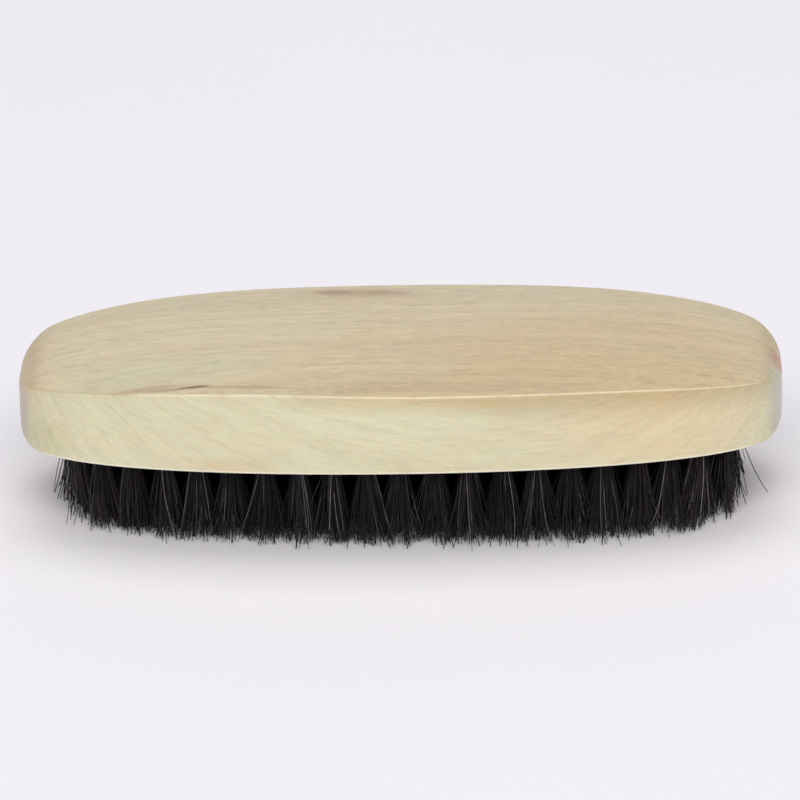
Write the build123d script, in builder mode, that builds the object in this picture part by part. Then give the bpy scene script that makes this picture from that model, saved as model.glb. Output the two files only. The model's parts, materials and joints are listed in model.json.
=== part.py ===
"""Oval palm brush for a beard: a one-piece wooden block, drilled underneath and filled with bristle tufts.

Each tuft is a bundle of bristles folded in half over a short piece of flat wire, the anchor, and driven
into a blind hole until the anchor bites into the wood. The tufts stand in three rings that follow the
block's outline, one inside another, and a straight row along the middle.

+X runs along the brush, -Y is the front side, +Z is up. The origin is on the surface that the bristle tips
stand on, under the middle of the block. Sizes are in millimetres.
"""

from build123d import *
from math import atan, cos, degrees, exp, radians, sin
import os

# Block outline, an oval with long, gently bowed sides and blunt ends: an ellipse has oval_power 2
block_length = 122.0
block_width = 48.0
oval_power = 3.64
quarter_points = 12

# Height of the block's top above its flat underside, and how the sanded top falls away from the middle
crown_height = 14.65
end_drop = 4.15
end_drop_power = 3.6
side_drop = 1.5
twist = 0.15
lean = 0.19
shoulder_height = 0.35
shoulder_x = -20.0
shoulder_reach = 14.0

# Rolled ends, above and below, and the small round along both rims
end_roll_start = 55.8
end_roll_radius = 9.0
foot_roll_radius = 3.6
end_clearance = 0.08
rim_radius = 0.5

# Bristle field: rings that follow the outline, and one row along the middle
bristle_length = 13.0
field_length = 104.8
field_width = 38.0
ring_names = ("outer_ring", "middle_ring", "inner_ring")
tuft_pitch = 5.45
end_reach = 9.0

# Hole, tuft and anchor
hole_radius = 1.5
hole_depth = 8.0
drill_tip_height = 0.9
tuft_clearance = 0.03
tuft_depth = 7.9
fold_radius = 1.1
mouth_height = 1.0
tip_radius = 2.3
anchor_length = 3.4
anchor_height = 1.8
anchor_thickness = 0.4
anchor_depth = 5.9

half_length = block_length / 2
half_width = block_width / 2
tuft_radius = hole_radius - tuft_clearance
ring_step = field_width / 2 / len(ring_names)
form_reach = half_width * 1.1
profile_count = 7
top_point_count = 13


def oval_points(half_x, half_y):
    """Points round the block's kind of oval, from its +X end, closer together where it turns the most."""
    angles = [radians(90) * (k / quarter_points) ** (oval_power / 2) for k in range(quarter_points + 1)]
    quarter = [(half_x * cos(angle), half_y * sin(angle) ** (2 / oval_power)) for angle in angles]
    back = quarter + [(-x, y) for x, y in reversed(quarter[:-1])]
    front = [(x, -y) for x, y in reversed(back[1:-1])]
    return back + front


def crown(x, y):
    """Height of the top above the underside: fullest in the middle, lower along the sides, and lowest at the
    ends. Sanding by hand has left it a little twisted and leaning, with a slight shoulder on the front side."""
    along = x / half_length
    across = y / half_width
    fall = end_drop * abs(along) ** end_drop_power + side_drop * across**2 + lean * along
    shoulder = shoulder_height * exp(-(((x - shoulder_x) / shoulder_reach) ** 2)) * max(0.0, -across) ** 2
    return crown_height - fall + twist * along * across + shoulder


def crown_slope(x, y):
    """Slope of the top along the brush."""
    step = 0.01
    return (crown(x + step, y) - crown(x - step, y)) / (2 * step)


# Form of the top: crowned lengthwise profiles with rolled ends, lofted across the block
profile_ys = [form_reach * (2 * k / (profile_count - 1) - 1) for k in range(profile_count)]
top_xs = [end_roll_start * (2 * k / (top_point_count - 1) - 1) for k in range(top_point_count)]

with BuildPart() as crown_form:
    for profile_y in profile_ys:
        with BuildSketch(Plane.XZ.offset(-profile_y)):
            with BuildLine():
                top_points = [(x, bristle_length + crown(x, profile_y)) for x in top_xs]
                end_slopes = [(1, crown_slope(x, profile_y)) for x in (top_xs[0], top_xs[-1])]
                top_line = Spline(*top_points, tangents=end_slopes)
                feet = []
                for side, start in ((-1, top_line @ 0), (1, top_line @ 1)):
                    slope = crown_slope(start.X, profile_y)
                    turn = side * (degrees(atan(-side * slope)) - 90)
                    roll = JernArc(start, (side, side * slope), end_roll_radius, turn)
                    foot = ((roll @ 1).X, 0)
                    Line(roll @ 1, foot)
                    feet.append(foot)
                Line(*feet)
            make_face()
    loft()

# Form of the underside: flat, and rolled up at both ends
with BuildPart() as foot_form:
    with BuildSketch(Plane.XZ):
        with Locations((0, bristle_length)):
            Rectangle(block_length + 2 * end_clearance, block_width, align=(Align.CENTER, Align.MIN))
    extrude(amount=form_reach, both=True)
    fillet(foot_form.faces().sort_by(Axis.Z)[0].edges().filter_by(Axis.Y), foot_roll_radius)

# Places of the tufts, in groups with the names of their nodes
groups = {}
for ring_number, ring_name in enumerate(ring_names):
    ring_half_length = field_length / 2 - ring_step * ring_number
    ring_half_width = field_width / 2 - ring_step * ring_number
    with BuildLine():
        ring = Spline(*oval_points(ring_half_length, ring_half_width), periodic=True)
    count = 2 * round(ring.length / tuft_pitch / 2)
    spots = [ring.position_at((k + 0.5) / count) for k in range(count)]
    end_x = ring_half_length - end_reach
    groups[f"{ring_name}_front"] = [spot for spot in spots if abs(spot.X) <= end_x and spot.Y < 0]
    groups[f"{ring_name}_back"] = [spot for spot in spots if abs(spot.X) <= end_x and spot.Y > 0]
    groups[f"{ring_name}_left_end"] = [spot for spot in spots if spot.X < -end_x]
    groups[f"{ring_name}_right_end"] = [spot for spot in spots if spot.X > end_x]

row_reach = int((field_length - field_width) / 2 / tuft_pitch)
groups["centre_row"] = [Vector(tuft_pitch * k, 0) for k in range(-row_reach, row_reach + 1)]
all_spots = [spot for spots in groups.values() for spot in spots]

# One anchor, one tuft and the cutter for one hole, each standing at the origin
with BuildPart() as anchor:
    with BuildSketch(Plane.XY.offset(bristle_length + anchor_depth - anchor_height / 2)):
        Rectangle(anchor_thickness, anchor_length)
    extrude(amount=anchor_height)

with BuildPart() as tuft:
    with BuildSketch(Plane.XZ):
        with BuildLine():
            fold_z = bristle_length + tuft_depth
            flare = Line((tip_radius, 0), (tuft_radius, bristle_length - mouth_height))
            root = Line(flare @ 1, (tuft_radius, fold_z - fold_radius))
            fold = JernArc(root @ 1, (0, 1), fold_radius, 90)
            Polyline(fold @ 1, (0, fold_z), (0, 0), flare @ 0)
        make_face()
    revolve(axis=Axis.Z)
    add(anchor.part, mode=Mode.SUBTRACT)

with BuildPart() as hole_cutter:
    with BuildSketch(Plane.XZ):
        with BuildLine():
            start_z = bristle_length - mouth_height
            wall_z = bristle_length + hole_depth
            tip_z = wall_z + drill_tip_height
            Polyline((0, start_z), (hole_radius, start_z), (hole_radius, wall_z), (0, tip_z), close=True)
        make_face()
    revolve(axis=Axis.Z)
    add(anchor.part)

# Handle block: the outline, cut to both forms, with small rounds along its rims, and drilled
with BuildPart() as handle_block:
    with BuildSketch():
        with BuildLine():
            Spline(*oval_points(half_length, half_width), periodic=True)
        make_face()
    extrude(amount=bristle_length + 2 * crown_height)
    add(crown_form.part, mode=Mode.INTERSECT)
    add(foot_form.part, mode=Mode.INTERSECT)
    wall_edges = handle_block.faces().filter_by(lambda face: abs(face.normal_at().Z) < 0.01).edges()
    fillet(wall_edges - wall_edges.filter_by(Axis.Z), rim_radius)
    with Locations(*all_spots):
        add(hole_cutter.part, mode=Mode.SUBTRACT)

os.makedirs("parts", exist_ok=True)
handle_block.part.label = "handle_block"
export_step(handle_block.part, "parts/handle_block.step")

for group, spots in groups.items():
    with BuildPart() as tufts:
        with Locations(*spots):
            add(tuft.part)
    tufts.part.label = f"{group}_tufts"
    export_step(tufts.part, f"parts/{group}_tufts.step")

    with BuildPart() as anchors:
        with Locations(*spots):
            add(anchor.part)
    anchors.part.label = f"{group}_anchors"
    export_step(anchors.part, f"parts/{group}_anchors.step")
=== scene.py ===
"""Looks of the beard brush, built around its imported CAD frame.

The wooden block keeps its CAD shape and gets pale, satin-varnished wood. Each group of CAD tufts is
replaced by separate hairs, which leave the same holes, fan out and end just above the same plane. The
anchors stay as they are, inside the wood, and get drawn steel. Everything is in metres in the CAD frame:
+X along the brush, -Y its front.
"""

import json
from math import ceil, cos, radians, sin, sqrt, tau

import bpy
import numpy as np
from mathutils import Matrix, Vector


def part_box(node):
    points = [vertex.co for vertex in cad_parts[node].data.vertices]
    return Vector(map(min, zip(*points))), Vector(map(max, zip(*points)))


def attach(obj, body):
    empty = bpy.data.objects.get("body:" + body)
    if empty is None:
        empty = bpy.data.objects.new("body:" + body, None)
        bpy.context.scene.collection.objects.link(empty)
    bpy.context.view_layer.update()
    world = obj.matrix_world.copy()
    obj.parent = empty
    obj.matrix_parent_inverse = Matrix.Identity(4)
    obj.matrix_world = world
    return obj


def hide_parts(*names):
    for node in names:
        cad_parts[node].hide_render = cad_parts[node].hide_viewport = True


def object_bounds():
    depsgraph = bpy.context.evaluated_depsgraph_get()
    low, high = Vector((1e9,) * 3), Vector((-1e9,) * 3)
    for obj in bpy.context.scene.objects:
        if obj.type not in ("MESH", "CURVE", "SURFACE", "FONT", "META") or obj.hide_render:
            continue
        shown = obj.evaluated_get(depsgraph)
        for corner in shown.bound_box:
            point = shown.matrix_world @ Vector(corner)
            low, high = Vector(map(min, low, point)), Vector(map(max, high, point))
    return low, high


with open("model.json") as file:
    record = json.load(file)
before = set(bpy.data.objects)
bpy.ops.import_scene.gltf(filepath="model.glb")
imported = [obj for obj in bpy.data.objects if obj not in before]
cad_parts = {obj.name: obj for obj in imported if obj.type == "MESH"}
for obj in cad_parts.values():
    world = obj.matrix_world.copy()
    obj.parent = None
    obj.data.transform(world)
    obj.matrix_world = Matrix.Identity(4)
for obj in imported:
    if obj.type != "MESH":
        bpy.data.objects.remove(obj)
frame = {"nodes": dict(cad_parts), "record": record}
cad_low, cad_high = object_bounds()

mm = 0.001
block_low, block_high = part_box("handle_block")
block_middle = (block_low + block_high) / 2
block_half = (block_high - block_low) / 2
underside = Vector((block_middle.x, block_middle.y, block_low.z))

# Camera: a long lens in front of the brush and a little above it, turned and rolled by about a degree
camera_distance = 1.0
camera_elevation = 22.95
camera_heading = 1.257
camera_roll = 1.271
camera_lens = 279.8
sensor_width = 36.0
camera_aim = underside + Vector((-0.2 * mm, 0, 2.75 * mm))

# Hairs: they fan out from just inside their hole, and gather into a few locks towards their tips
hairs_per_tuft = 150
locks_per_tuft = 8
hair_radius = 0.085 * mm
thinnest = 0.65
# A share of the hairs is painted pale grey, as painted highlights on lit hairs, and drawn thinner
highlight_share = 0.12
highlight_thickness = 0.75
hair_sides = 4
hair_segments = 8
taper_at = (0, 0.8, 1)
taper = (0.9, 1.0, 0.8)
root_depth = 0.6 * mm
root_spread = 0.80 * mm
tip_spread = 3.45 * mm
tip_scatter = 0.50 * mm
wander_share = 0.05
wander = 1.6 * mm
tuft_lean = 0.30 * mm
lock_lean = 0.45 * mm
gathering = 0.28
curl = 0.22 * mm
tip_kick = 0.90 * mm
loosest_lock = 0.3
tightest_lock = 1.4
gathering_power = 2.5
kick_power = 5
stray_share = 0.012
stray_reach = 3.4 * mm
shortest_stray = 0.4
hair_seed = 20

# How far above the ground plane the hairs end: each hair by itself, and together with its lock. A share of
# them, of full length, end much nearer to it.
mean_cut = 0.66 * mm
cut_shape = 1.8
lock_cut = 0.25 * mean_cut
longest_cut = 3.0 * mm
full_share = 0.22
full_length_cut = 0.1

# The front and back tufts lean outward at their tips, more towards both ends, and most at the right end.
# The tufts at both ends lean inward.
splay = 0.8 * mm
splay_right = 2.4 * mm
splay_ends = 7.0 * mm
draw_in = 2.0 * mm


# ---------------------------------------------------------------- node trees


def colour(red, green, blue):
    """A colour as a node takes it, from display values of 0 to 255."""
    return tuple(((value / 255 + 0.055) / 1.055) ** 2.4 for value in (red, green, blue)) + (1.0,)


class Nodes:
    """The node tree of one new material. Each step adds a node and returns one of its outputs."""

    def __init__(self, name):
        self.material = bpy.data.materials.new(name)
        self.material.use_nodes = True
        self.tree = self.material.node_tree
        self.shader = self.tree.nodes["Principled BSDF"]

    def add(self, kind, inputs=None, output=0, **settings):
        """Adds a node and sets or links its inputs. The output can be a number or a name."""
        node = self.tree.nodes.new("ShaderNode" + kind)
        for key, value in settings.items():
            setattr(node, key, value)
        for key, value in (inputs or {}).items():
            self.feed(node.inputs[key], value)
        return node.outputs[output]

    def feed(self, socket, value):
        """Links another node's output to a socket, or sets a plain value on it."""
        if isinstance(value, bpy.types.NodeSocket):
            self.tree.links.new(value, socket)
        else:
            socket.default_value = value

    def surface(self, **values):
        """Sets or links the shader's own sockets: Base_Color is its Base Color."""
        for key, value in values.items():
            self.feed(self.shader.inputs[key.replace("_", " ")], value)

    def maths(self, operation, *values):
        return self.add("Math", dict(enumerate(values)), operation=operation)

    def fit(self, point, size, at=(0, 0, 0), turn=(0, 0, 0)):
        """The point measured from a place, in turned axes, in units of a size."""
        turned = tuple(radians(angle) for angle in turn)
        inputs = {"Vector": point, "Location": at, "Rotation": turned, "Scale": size}
        return self.add("Mapping", inputs, vector_type="TEXTURE")

    def noise(self, point, size, detail=2.0, roughness=0.5):
        """Noise from 0 to 1 whose lumps have a size along each axis."""
        inputs = {"Vector": self.fit(point, size), "Scale": 1.0, "Detail": detail}
        return self.add("TexNoise", inputs | {"Roughness": roughness})

    def ramp(self, value, start, end, low=0.0, high=1.0):
        """A smooth step from low at start to high at end."""
        inputs = {"Value": value, "From Min": start, "From Max": end, "To Min": low, "To Max": high}
        return self.add("MapRange", inputs, interpolation_type="SMOOTHSTEP")

    def mix(self, share, first, second):
        """The first colour, with a share of the second over it."""
        return self.add("Mix", {0: share, 6: first, 7: second}, output=2, data_type="RGBA")

    def tone(self, base, factor, share=1.0):
        """The base colour times a grey factor."""
        inputs = {0: share, 6: base, 7: factor}
        return self.add("Mix", inputs, output=2, data_type="RGBA", blend_type="MULTIPLY")

    def spot(self, point, at, radii, turn):
        """1 in the middle of a soft ellipsoid and 0 outside it."""
        inside = self.fit(point, radii, at, turn)
        reach = self.add("TexGradient", {0: inside}, output=1, gradient_type="SPHERICAL")
        return self.ramp(reach, 0.0, 0.75)


# ---------------------------------------------------------------- wood

# The top's colour: browner face grain, and painted shade that makes it darker than the sides
top_tan_and_shade = colour(202, 185, 147)
side_cream = colour(221, 214, 180)
end_grey = colour(196, 183, 162)
growth_brown = colour(172, 144, 104)
pore_brown = colour(150, 120, 84)
green_cast = colour(253, 255, 253)
pink_cast = colour(255, 253, 250)
peach = colour(232, 192, 142)
# Painted highlights: pale lines along the small rounds of the top's rims and of the foot
rim_highlight_colour = colour(250, 238, 206)
foot_highlight_colour = colour(255, 249, 222)

# The pith of the tree ran below and behind the block, almost along it
pith = Vector((0, 62 * mm, -34 * mm))
pith_turn = (0, 0.9, 0.6)
layer_spacing = 2.1 * mm
layer_unevenness = 1.6

# Near the front of the top the grain runs down to the right, then level, then a little up, as through a
# valley. It starts to do so at one distance from the middle, and does so fully at another.
valley_width = 20 * mm
valley_start = -12 * mm
valley_full = -22 * mm
valley_slope = 0.21
valley_tilt = -0.09

# On the side walls it does so more and more towards the ends
wall_bend = 4.4
wall_tilt = -0.14

# Where the painted highlight along the front rim runs, along the block from -1 to 1
highlight_left_end = -0.66
highlight_right_end = 0.94

# Where the wood's colour changes, and the marks on it: place on the block from -1 to 1 along each axis,
# radii in mm, turn about Z in degrees, colour, share
tints = {
    "tan_side_right": ((0.76, -0.85, 0.0), (40, 9, 14), 0, colour(226, 209, 171), 0.95),
    "tan_top_right": ((0.85, -0.5, 1.1), (85, 42, 9.5), 0, colour(196, 171, 127), 0.95),
    "pink_front_of_top": ((0.08, -0.88, 0.85), (33, 4.6, 7), 0, colour(193, 166, 127), 0.8),
    "pink_under_edge": ((0.08, -1.0, 0.68), (28, 4, 2.6), 0, colour(214, 188, 142), 0.7),
    "pink_foot_left": ((-0.43, -0.95, -0.80), (10, 5, 2.0), 0, colour(215, 190, 150), 0.45),
    "green_left_of_top": ((-0.62, -0.55, 0.85), (20, 9, 7), 4, colour(197, 191, 160), 0.6),
    "green_side": ((-0.06, -1.0, 0.16), (26, 5, 5.2), 0, colour(225, 221, 188), 0.8),
    # Painted shade: a darker olive low on the front of the left end
    "olive_shade_left_end": ((-0.93, -0.60, -0.60), (7, 9, 5.0), 0, colour(203, 197, 156), 0.6),
    # Painted shade: the top's darker tan carried down over the upper left corner of the wall
    "tan_shade_left_corner": ((-0.95, -0.72, 0.74), (10, 13, 2.8), 0, colour(208, 192, 157), 0.95),
    "pink_left_end": ((-0.95, -0.15, 0.35), (6, 15, 7), 0, colour(204, 176, 142), 0.4),
    "grey_right_end": ((1.0, -0.35, -0.05), (4, 13, 9), 0, colour(204, 204, 186), 0.8),
    "brown_behind": ((-0.11, 0.80, 0.88), (14, 3.8, 3.5), -3, colour(184, 155, 117), 0.9),
}
marks = {
    "red_right_end": ((1.0, -0.06, 0.33), (2.6, 6.5, 2.4), 0, colour(196, 134, 106), 0.75),
    "brown_behind_left": ((-0.18, 0.82, 0.86), (4.4, 1.8, 2), -3, colour(152, 112, 74), 0.75),
    "brown_behind_right": ((-0.05, 0.80, 0.87), (6.0, 1.6, 2), -3, colour(164, 126, 86), 0.65),
    "streak_left": ((-0.655, -0.79, 0.80), (10, 1.4, 1.6), 5, colour(172, 148, 108), 0.8),
    "streak_left_core": ((-0.60, -0.825, 0.82), (4.2, 0.7, 1.8), 3, colour(152, 132, 94), 0.75),
    "streak_right": ((-0.39, -0.84, 0.885), (10, 0.8, 1.8), -5, colour(164, 142, 104), 0.8),
    "crack_halo": ((-0.525, -0.806, 0.855), (4.6, 0.9, 1.5), 4, colour(158, 126, 84), 0.8),
    "crack": ((-0.524, -0.804, 0.855), (3.3, 0.38, 0.9), 4, colour(78, 52, 14), 0.9),
}


def on_block(along, across, height):
    """A place on the block, given from -1 to 1 along each axis."""
    return tuple(block_middle + Vector((along, across, height)) * block_half)


def waver(nodes, point, size, reach):
    """A shift of up to about half a reach each way along each axis, which changes over a size."""
    inputs = {"Vector": nodes.fit(point, size), "Scale": 1.0, "Detail": 2.0}
    shift = nodes.add("TexNoise", inputs, output="Color")
    shift = nodes.add("VectorMath", {0: shift, 1: (0.5, 0.5, 0.5)}, operation="SUBTRACT")
    return nodes.add("VectorMath", {0: shift, 1: reach}, operation="MULTIPLY")


def shifted(nodes, point, shift):
    return nodes.add("VectorMath", {0: point, 1: shift}, operation="ADD")


def grain_point(nodes, place, wall):
    """The place in the tree: gently wavering, and bent near the front of the top and on the walls."""
    x, y, z = (nodes.add("SeparateXYZ", {0: place}, axis) for axis in "XYZ")
    away = nodes.maths("SQRT", nodes.maths("MULTIPLY_ADD", x, x, valley_width**2))
    away = nodes.maths("SUBTRACT", away, valley_width)
    rise = nodes.maths("MULTIPLY_ADD", x, valley_tilt, nodes.maths("MULTIPLY", away, valley_slope))
    rise = nodes.maths("MULTIPLY", rise, nodes.ramp(y, valley_start, valley_full))
    wall_rise = nodes.maths("MULTIPLY", x, nodes.maths("MULTIPLY_ADD", x, wall_bend, wall_tilt))
    rise = nodes.ramp(wall, 0, 1, rise, wall_rise)
    bent = nodes.add("CombineXYZ", {0: x, 1: y, 2: nodes.maths("SUBTRACT", z, rise)})
    bent = shifted(nodes, bent, waver(nodes, place, (26 * mm, 9 * mm, 9 * mm), (0, 2.6 * mm, 2.6 * mm)))
    return shifted(nodes, bent, waver(nodes, place, (3.6 * mm, 3 * mm, 2 * mm), (0, 0.4 * mm, 0.25 * mm)))


def growth_layers(nodes, grain):
    """A slow light and dark from layer to layer, and the thin dark line that ends each layer."""
    around = nodes.fit(grain, (1, 1, 1), at=pith, turn=pith_turn)
    across = nodes.add("VectorMath", {0: around, 1: (0, 1, 1)}, operation="MULTIPLY")
    radius = nodes.add("VectorMath", {0: across}, output="Value", operation="LENGTH")
    age = nodes.maths("DIVIDE", radius, layer_spacing)
    uneven = nodes.add("TexNoise", {"W": age, "Scale": 0.7, "Detail": 1.0}, noise_dimensions="1D")
    age = nodes.maths("ADD", age, nodes.maths("MULTIPLY", uneven, layer_unevenness))
    season = nodes.maths("FRACT", age)
    late = nodes.ramp(season, 0.45, 0.93)
    line = nodes.maths("MULTIPLY", late, nodes.ramp(season, 1.0, 0.93))
    slow = nodes.add("TexNoise", {"W": age, "Scale": 0.45, "Detail": 2.0}, noise_dimensions="1D")
    return slow, line


def painted_rim_highlights(nodes, place, facing):
    """Painted highlight masks: the small round along the front and back of the top, and the one round the
    foot.
    """
    highlight_patches = nodes.ramp(nodes.noise(place, (3 * mm, 3 * mm, 3 * mm)), 0.2, 0.6)
    x, y, z = (nodes.add("SeparateXYZ", {0: place}, axis) for axis in "XYZ")
    tilted = nodes.ramp(facing["Z"], 0.5, 0.64)
    top = nodes.maths("MULTIPLY", tilted, nodes.ramp(facing["Z"], 0.93, 0.8))
    left, right = (on_block(share, 0, 0)[0] for share in (highlight_left_end, highlight_right_end))
    top = nodes.maths("MULTIPLY", top, nodes.ramp(x, left - 4 * mm, left + 2 * mm))
    top = nodes.maths("MULTIPLY", top, nodes.ramp(x, right + 1 * mm, right - 2 * mm))
    top = nodes.maths("MULTIPLY", top, nodes.ramp(highlight_patches, 0, 1, 0.2, 0.5))
    foot = nodes.ramp(z, block_low.z + 0.54 * mm, block_low.z + 0.38 * mm)
    foot = nodes.maths("MULTIPLY", foot, nodes.ramp(facing["X"], 0.7, 0.4))
    foot = nodes.maths("MULTIPLY", foot, nodes.ramp(facing["Z"], 0.98, 0.9))
    return top, nodes.maths("MULTIPLY", foot, nodes.ramp(highlight_patches, 0, 1, 0.75, 1.0))


def mark(nodes, base, place, spots):
    """The base colour with soft ellipsoids of other colours over it."""
    for at, radii, turn, tint, share in spots.values():
        radii = tuple(radius * mm for radius in radii)
        spot = nodes.spot(place, on_block(*at), radii, (0, 0, turn))
        base = nodes.mix(nodes.maths("MULTIPLY", spot, share), base, tint)
    return base


def wood_material():
    """Pale, close-grained wood under satin varnish, with the photo's changes of colour and marks."""
    nodes = Nodes("satin_wood")
    place = nodes.add("TexCoord", output="Object")
    normal = nodes.add("TexCoord", output="Normal")
    facing = {
        axis: nodes.maths("ABSOLUTE", nodes.add("SeparateXYZ", {0: normal}, axis)) for axis in "XYZ"
    }
    upward = nodes.ramp(facing["Z"], 0.4, 0.72)
    wall = nodes.ramp(facing["Y"], 0.2, 0.75)
    grain = grain_point(nodes, place, wall)
    fraying = waver(nodes, grain, (4 * mm, 1.6 * mm, 1.2 * mm), (4 * mm, 0.5 * mm, 0.4 * mm))
    ragged = shifted(nodes, place, fraying)

    # Faces: the top is more tan than the sides, as face grain is, and darker as painted shade; the end
    # grain greyer
    base = nodes.mix(upward, side_cream, top_tan_and_shade)
    base = nodes.mix(nodes.ramp(facing["X"], 0.77, 0.95), base, end_grey)
    base = mark(nodes, base, ragged, tints)

    # Growth layers: a slow light and dark, and thin lines that break into short stretches
    slow, line = growth_layers(nodes, grain)
    slow = nodes.ramp(slow, 0.3, 0.7, -0.05, 0.03)
    slow = nodes.maths("MULTIPLY_ADD", slow, nodes.ramp(upward, 0, 1, 0.4, 1.0), 1.0)
    base = nodes.tone(base, slow)
    broken = nodes.noise(grain, (3.4 * mm, 1.8 * mm, 0.9 * mm), detail=3.0, roughness=0.65)
    line = nodes.maths("MULTIPLY", line, nodes.ramp(broken, 0.36, 0.62, 0.15, 1.0))
    clear = nodes.ramp(upward, 0, 1, 0.12, 0.32)
    base = nodes.mix(nodes.maths("MULTIPLY", line, clear), base, growth_brown)

    # Short strokes and fibres along the grain, and darker pores, all fainter on the sides
    fine = nodes.ramp(upward, 0, 1, 0.62, 1.0)
    strokes = nodes.noise(grain, (2.6 * mm, 1.1 * mm, 0.55 * mm), roughness=0.6)
    base = nodes.tone(base, nodes.ramp(strokes, 0.3, 0.7, 0.94, 1.045), fine)
    fibres = nodes.noise(grain, (7 * mm, 0.7 * mm, 0.36 * mm), detail=3.0, roughness=0.6)
    base = nodes.tone(base, nodes.ramp(fibres, 0.25, 0.75, 0.93, 1.055), fine)
    long_streaks = nodes.noise(grain, (9 * mm, 2.0 * mm, 0.9 * mm), detail=1.0)
    base = nodes.tone(base, nodes.ramp(long_streaks, 0.56, 0.74, 1.0, 0.95))
    pores = nodes.noise(grain, (1.9 * mm, 0.8 * mm, 0.3 * mm), detail=1.0)
    pores = nodes.ramp(pores, 0.64, 0.76)
    darker = nodes.maths("MULTIPLY", pores, nodes.maths("MULTIPLY", fine, 0.2))
    base = nodes.mix(darker, base, pore_brown)

    # Mottling between a green and a pink cast, in patches and in grains, and peach flecks towards the right
    for size in ((20 * mm, 9 * mm, 5 * mm), (1.7 * mm, 2.4 * mm, 1.1 * mm)):
        patch = nodes.ramp(nodes.noise(place, size), 0.35, 0.65)
        base = nodes.tone(base, nodes.mix(patch, green_cast, pink_cast))
    flecks = nodes.ramp(nodes.noise(place, (0.7 * mm, 1.3 * mm, 0.6 * mm), detail=1.0), 0.56, 0.72)
    rightward = nodes.ramp(nodes.add("SeparateXYZ", {0: place}, "X"), -10 * mm, 25 * mm, 0.03, 0.15)
    base = nodes.mix(nodes.maths("MULTIPLY", flecks, rightward), base, peach)

    base = mark(nodes, base, ragged, marks)
    # Painted highlights along the rims of the top and round the foot
    top_highlight_mask, foot_highlight_mask = painted_rim_highlights(nodes, place, facing)
    base = nodes.mix(top_highlight_mask, base, rim_highlight_colour)
    base = nodes.mix(foot_highlight_mask, base, foot_highlight_colour)

    # Satin varnish, a little uneven, sunk along the fibres and the pores
    gloss = nodes.ramp(nodes.noise(place, (14 * mm, 5 * mm, 5 * mm)), 0.3, 0.7, 0.34, 0.44)
    gloss = nodes.maths("ADD", gloss, nodes.maths("MULTIPLY", pores, 0.12))
    relief = nodes.maths("SUBTRACT", fibres, nodes.maths("MULTIPLY", pores, 0.9))
    relief = nodes.maths("SUBTRACT", relief, nodes.maths("MULTIPLY", line, 0.5))
    bump = nodes.add("Bump", {"Strength": 0.35, "Distance": 0.03 * mm, "Height": relief})
    nodes.surface(Base_Color=base, Roughness=gloss, Normal=bump)
    nodes.surface(Coat_Weight=0.35, Coat_Roughness=0.3, IOR=1.45)
    return nodes.material


# ---------------------------------------------------------------- bristle and steel

hair_black = colour(10, 8, 10)
hair_grey = colour(30, 25, 29)
hair_rust = colour(50, 32, 38)
# Painted highlight: the pale grey of a share of the hairs
hair_highlight_grey = colour(118, 111, 111)
hair_tip = colour(44, 36, 40)
steel_bright = colour(196, 196, 192)
steel_dull = colour(142, 138, 132)


def bristle_material():
    """Natural black hair with a soft sheen: a few hairs painted pale grey as highlights, some rusty at the
    brush's ends, and all painted lighter near their roots against the shade under the block.
    """
    nodes = Nodes("black_bristle")
    place = nodes.add("TexCoord", output="Object")
    shade = nodes.add("Attribute", output="Fac", attribute_name="shade")
    along = nodes.add("Attribute", output="Fac", attribute_name="along")
    base = nodes.mix(nodes.ramp(shade, 0.3, 0.9), hair_black, hair_grey)
    sideways = nodes.maths("ABSOLUTE", nodes.add("SeparateXYZ", {0: place}, "X"))
    rusty = nodes.maths("MULTIPLY", nodes.ramp(sideways, 32 * mm, 48 * mm), nodes.ramp(shade, 0.35, 0.6))
    base = nodes.mix(nodes.maths("MULTIPLY", rusty, 0.5), base, hair_rust)
    # Painted highlights: a share of the hairs pale grey
    base = nodes.mix(nodes.ramp(shade, 1 - highlight_share, 0.98), base, hair_highlight_grey)
    # Painted light: hairs up to 1.9 times as light near their roots, against the shade under the block
    base = nodes.tone(base, nodes.ramp(along, 0.1, 0.55, 1.9, 1.05))
    bands = nodes.noise(place, (0.6 * mm, 0.6 * mm, 2.2 * mm))
    base = nodes.tone(base, nodes.ramp(bands, 0.3, 0.7, 0.75, 1.2))
    tip = nodes.maths("MULTIPLY", nodes.ramp(along, 0.8, 1.0), 0.25)
    base = nodes.mix(tip, base, hair_tip)
    scales = nodes.noise(place, (0.05 * mm, 0.05 * mm, 0.16 * mm), detail=1.0)
    uneven = nodes.ramp(bands, 0.25, 0.75, -0.04, 0.06)
    gloss = nodes.maths("ADD", nodes.ramp(shade, 0.5, 0.95, 0.58, 0.36), uneven)
    bump = nodes.add("Bump", {"Strength": 0.25, "Distance": 0.01 * mm, "Height": scales})
    nodes.surface(Base_Color=base, Roughness=gloss, Normal=bump)
    nodes.surface(IOR=1.52, Specular_IOR_Level=0.35)
    return nodes.material


def steel_material():
    """Flat drawn wire: grey steel with fine lines along it and a few dull patches."""
    nodes = Nodes("drawn_steel")
    place = nodes.add("TexCoord", output="Object")
    lines = nodes.noise(place, (0.03 * mm, 2.5 * mm, 0.03 * mm), detail=3.0)
    dull = nodes.noise(place, (0.8 * mm, 0.8 * mm, 0.8 * mm), detail=3.0)
    base = nodes.mix(nodes.ramp(dull, 0.35, 0.75), steel_bright, steel_dull)
    base = nodes.tone(base, nodes.ramp(lines, 0.3, 0.7, 0.85, 1.05))
    gloss = nodes.ramp(lines, 0.3, 0.7, 0.28, 0.46)
    bump = nodes.add("Bump", {"Strength": 0.3, "Distance": 0.01 * mm, "Height": lines})
    nodes.surface(Base_Color=base, Roughness=gloss, Normal=bump)
    nodes.surface(Metallic=1.0)
    return nodes.material


# ---------------------------------------------------------------- hairs

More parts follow.
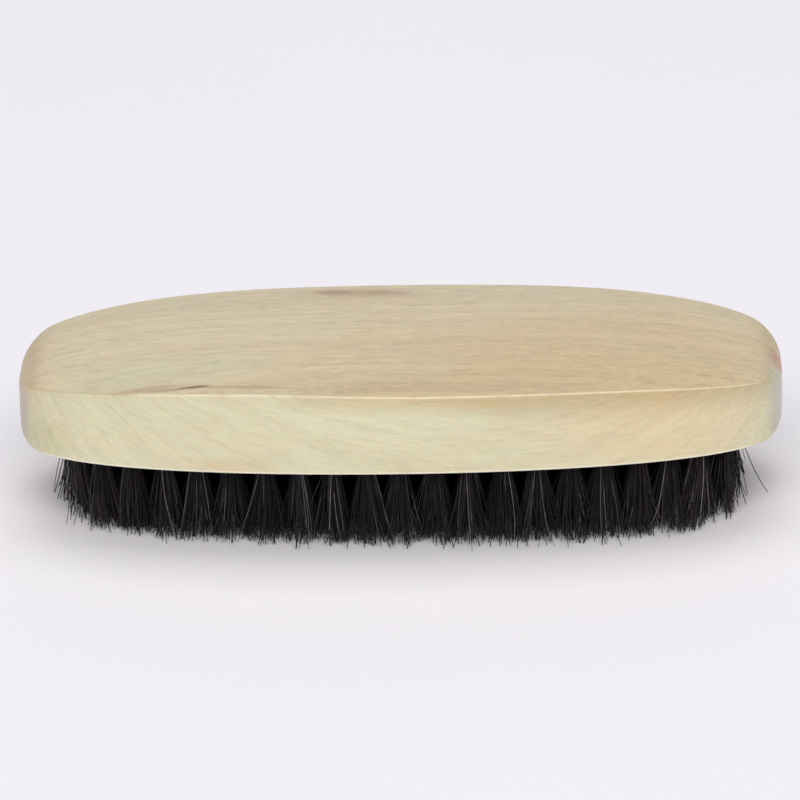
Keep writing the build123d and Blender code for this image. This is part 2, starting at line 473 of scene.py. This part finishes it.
# How level and how wide the flat tops of the CAD tufts are at most
disc_level = 0.01 * mm
disc_reach = 1.0 * mm

# Room round each hair's cell in the map for a baked picture, as a share of the cell
map_margin = 0.03


def tuft_middles(node):
    """Where the tufts of a CAD node stand. Each has a small flat top, in its hole, clear of the others."""
    mesh = frame["nodes"][node].data
    points = np.array([vertex.co for vertex in mesh.vertices])
    discs = points[points[:, 2] > points[:, 2].max() - disc_level, :2]
    middles = []
    while len(discs):
        near = np.linalg.norm(discs - discs[0], axis=1) < disc_reach
        middles.append((discs[near].min(0) + discs[near].max(0)) / 2)
        discs = discs[~near]
    return np.array(sorted(middles, key=lambda middle: tuple(np.round(middle, 4))))


def unit(vectors):
    return vectors / np.linalg.norm(vectors, axis=-1, keepdims=True)


def in_disc(random, *shape):
    """Places spread evenly over a disc of radius 1."""
    angle = random.uniform(0, tau, shape)
    reach = np.sqrt(random.uniform(0, 1, shape))
    return np.stack([np.cos(angle) * reach, np.sin(angle) * reach], -1)


def any_way(random, length, shape):
    """Level steps in any direction, most of them shorter than a length."""
    return unit(random.normal(0, 1, shape + (2,))) * np.abs(random.normal(0, length, shape + (1,)))


def hair_paths(middles, random):
    """The line that each hair follows, from inside its hole to its tip near the ground plane."""
    tufts = len(middles)
    each = (tufts, hairs_per_tuft)
    places = in_disc(random, *each)
    locks = in_disc(random, tufts, locks_per_tuft)
    gaps = np.linalg.norm(places[:, :, None] - locks[:, None], axis=-1)
    own = gaps.argmin(axis=2)[:, :, None]
    lock = np.take_along_axis(locks, own, axis=1)

    middle = middles[:, None]
    root = middle + root_spread * places
    along, across = ((middles - np.array(underside)[:2]) / np.array(block_half)[:2]).T
    lean = random.normal(0, tuft_lean, (tufts, 1, 2))
    lean[:, 0, 0] -= draw_in * along**3
    lean[:, 0, 1] += (splay + splay_right * along + splay_ends * along**4) * across
    lock_leans = random.normal(0, lock_lean, (tufts, locks_per_tuft, 2))
    wide = middle + tip_spread * places + lean + random.normal(0, tip_scatter, each + (2,))
    tight = random.uniform(loosest_lock, tightest_lock, (tufts, locks_per_tuft, 1)) * gathering
    gather = np.take_along_axis(tight, own, axis=1) * (lock - places) * tip_spread
    gather += np.take_along_axis(lock_leans, own, axis=1)
    stray = random.uniform(0, 1, each + (1,)) < stray_share
    wide += unit(places) * stray * random.uniform(shortest_stray, 1.0, each + (1,)) * stray_reach
    wanders = random.uniform(0, 1, each + (1,)) < wander_share
    wide += wanders * random.normal(0, wander, each + (2,))
    curl_way = any_way(random, curl, each)
    kick = any_way(random, tip_kick, each)
    own_cut = random.gamma(cut_shape, mean_cut / cut_shape, each)
    lock_cuts = random.gamma(1.0, lock_cut, (tufts, locks_per_tuft))
    cut = own_cut + np.take_along_axis(lock_cuts, own[:, :, 0], axis=1)
    full = random.uniform(0, 1, each) < full_share
    cut = np.minimum(cut, longest_cut) * np.where(full, full_length_cut, 1)

    share = np.linspace(0, 1, hair_segments + 1)[None, None, :, None]
    flat = (
        root[:, :, None] * (1 - share)
        + wide[:, :, None] * share
        + gather[:, :, None] * share**gathering_power
        + curl_way[:, :, None] * np.sin(np.pi * share)
        + kick[:, :, None] * share**kick_power
    )
    start_z = underside.z + root_depth
    end_z = (cad_low.z + hair_radius + cut)[:, :, None, None]
    height = start_z + (end_z - start_z) * share
    return np.concatenate([flat, height], axis=3).reshape(-1, hair_segments + 1, 3)


def hair_tubes(paths, thickness):
    """The corners of a tapering tube round each path: hair, ring, side, xyz."""
    along = unit(np.gradient(paths, axis=1))
    side = unit(np.cross(along, (0.0, 1.0, 0.0)))
    other = np.cross(along, side)
    share = np.linspace(0, 1, hair_segments + 1)
    radius = hair_radius * np.interp(share, taper_at, taper)[None, :, None, None]
    radius = radius * thickness[:, None, None, None]
    angle = (np.arange(hair_sides) * tau / hair_sides)[:, None]
    circle = side[:, :, None] * np.cos(angle) + other[:, :, None] * np.sin(angle)
    return paths[:, :, None] + circle * radius


def hair_faces(count):
    """Faces of the tubes, each closed at both ends, as rows of corner numbers."""
    ring = np.arange(hair_sides)
    step = np.arange(hair_segments)[:, None] * hair_sides
    next_side = (ring + 1) % hair_sides
    upper = step + hair_sides
    quads = np.stack([step + ring, step + next_side, upper + next_side, upper + ring], 2)
    ends = np.array([ring[::-1], hair_segments * hair_sides + ring])
    one = np.concatenate([quads.reshape(-1, 4), ends])
    first = np.arange(count)[:, None, None] * (hair_segments + 1) * hair_sides
    return (first + one).reshape(-1, 4)


def hair_map(count):
    """The same faces laid out flat for a baked picture. Each hair has a square cell of its own, with its
    sides in strips beside each other, and its two ends in a strip after them."""
    square = np.array([(0, 0), (1, 0), (1, 1), (0, 1)])
    segment, side = np.indices((hair_segments, hair_sides))
    sides = np.stack([side, segment], -1).reshape(-1, 1, 2) + square
    ends = np.array([(hair_sides, 0), (hair_sides, 2)])[:, None] + square
    one = np.concatenate([sides, ends]) / (hair_sides + 1, hair_segments)
    columns = ceil(sqrt(count))
    cell = np.stack(np.divmod(np.arange(count), columns), -1)[:, None, None]
    return (cell + map_margin + one * (1 - 2 * map_margin)) / columns


def add_hairs(group, material, random):
    """Replaces one group of CAD tufts with hairs."""
    node = f"{group}_tufts"
    paths = hair_paths(tuft_middles(node), random)
    count = len(paths)
    shade = random.uniform(0, 1, count)
    thickness = random.uniform(thinnest, 1, count)
    thickness *= np.where(shade > 1 - highlight_share, highlight_thickness, 1)
    corners = hair_tubes(paths, thickness).reshape(-1, 3)
    mesh = bpy.data.meshes.new(f"{group}_hairs")
    mesh.from_pydata(corners.tolist(), [], hair_faces(count).tolist(), shade_flat=False)
    shade = np.repeat(shade, (hair_segments + 1) * hair_sides)
    mesh.attributes.new("shade", "FLOAT", "POINT").data.foreach_set("value", shade)
    along = np.tile(np.repeat(np.linspace(0, 1, hair_segments + 1), hair_sides), count)
    mesh.attributes.new("along", "FLOAT", "POINT").data.foreach_set("value", along)
    mesh.uv_layers.new(name="OFBake").data.foreach_set("uv", hair_map(count).ravel())
    mesh.materials.append(material)
    hairs = bpy.data.objects.new(f"{group}_hairs", mesh)
    bpy.context.scene.collection.objects.link(hairs)
    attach(hairs, "root")
    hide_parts(node)


# ---------------------------------------------------------------- stage, light and camera

floor_half = 4.0
floor_white = colour(235, 231, 233)
floor_cloud = colour(238, 234, 236)
sky_blue = (0.82, 0.86, 1.0, 1.0)
sky_strength = 0.31

# Place, width, height and power of each softbox. All of them point at the block.
softboxes = {
    "front_softbox": ((0.0, -2.1, 2.1), 3.2, 1.6, 68.5),
    "top_softbox": ((0.0, 0.9, 2.8), 2.0, 1.8, 30.5),
    "back_softbox": ((0.0, 3.0, 1.3), 3.0, 1.4, 12.0),
}


def add_floor():
    """A wide sheet of pale paper under the brush, at the height of its tips."""
    mesh = bpy.data.meshes.new("floor")
    corners = [(x * floor_half, y * floor_half, cad_low.z) for x, y in ((-1, -1), (1, -1), (1, 1), (-1, 1))]
    mesh.from_pydata(corners, [], [(0, 1, 2, 3)])
    nodes = Nodes("pale_paper")
    place = nodes.add("TexCoord", output="Object")
    cloud = nodes.noise(place, (120 * mm, 120 * mm, 120 * mm), detail=3.0)
    base = nodes.mix(cloud, floor_white, floor_cloud)
    nodes.surface(Base_Color=base, Roughness=0.9, Specular_IOR_Level=0.0)
    mesh.materials.append(nodes.material)
    floor = bpy.data.objects.new("floor", mesh)
    bpy.context.scene.collection.objects.link(floor)


def add_softbox(name, place, width, height, power):
    """A rectangular area light that points at the middle of the block."""
    light = bpy.data.lights.new(name, "AREA")
    light.shape = "RECTANGLE"
    light.size = width
    light.size_y = height
    light.energy = power
    softbox = bpy.data.objects.new(name, light)
    bpy.context.scene.collection.objects.link(softbox)
    softbox.location = place
    softbox.rotation_euler = (block_middle - Vector(place)).to_track_quat("-Z", "Y").to_euler()


def add_light():
    """An even, slightly blue surrounding light, and the softboxes."""
    world = bpy.data.worlds.new("white_tent")
    world.use_nodes = True
    sky = world.node_tree.nodes["Background"]
    sky.inputs["Color"].default_value = sky_blue
    sky.inputs["Strength"].default_value = sky_strength
    bpy.context.scene.world = world
    for name, (place, width, height, power) in softboxes.items():
        add_softbox(name, place, width, height, power)
    bpy.context.scene.view_settings.view_transform = "Standard"


def add_camera():
    """The photo's own view of the brush."""
    heading = radians(camera_heading)
    elevation = radians(camera_elevation)
    forward = Vector((-sin(heading) * cos(elevation), cos(heading) * cos(elevation), -sin(elevation)))
    place = underside - forward * camera_distance
    look = (camera_aim - place).to_track_quat("-Z", "Y").to_matrix().to_4x4()
    camera = bpy.data.objects.new("camera", bpy.data.cameras.new("camera"))
    camera.data.lens = camera_lens
    camera.data.sensor_width = sensor_width
    bpy.context.scene.collection.objects.link(camera)
    camera.matrix_world = Matrix.Translation(place) @ look @ Matrix.Rotation(-radians(camera_roll), 4, "Z")
    bpy.context.scene.camera = camera


# ---------------------------------------------------------------- the brush

add_camera()
add_light()
add_floor()

wood = wood_material()
bristle = bristle_material()
steel = steel_material()
finishes = {"block_wood": wood, "anchor_wire": steel}
random = np.random.default_rng(hair_seed)
for subpart in frame["record"]["subparts"]:
    node = subpart["node"]
    if subpart["material_slot"] == "bristle":
        add_hairs(node.removesuffix("_tufts"), bristle, random)
    else:
        for slot in frame["nodes"][node].material_slots:
            slot.material = finishes[subpart["material_slot"]]
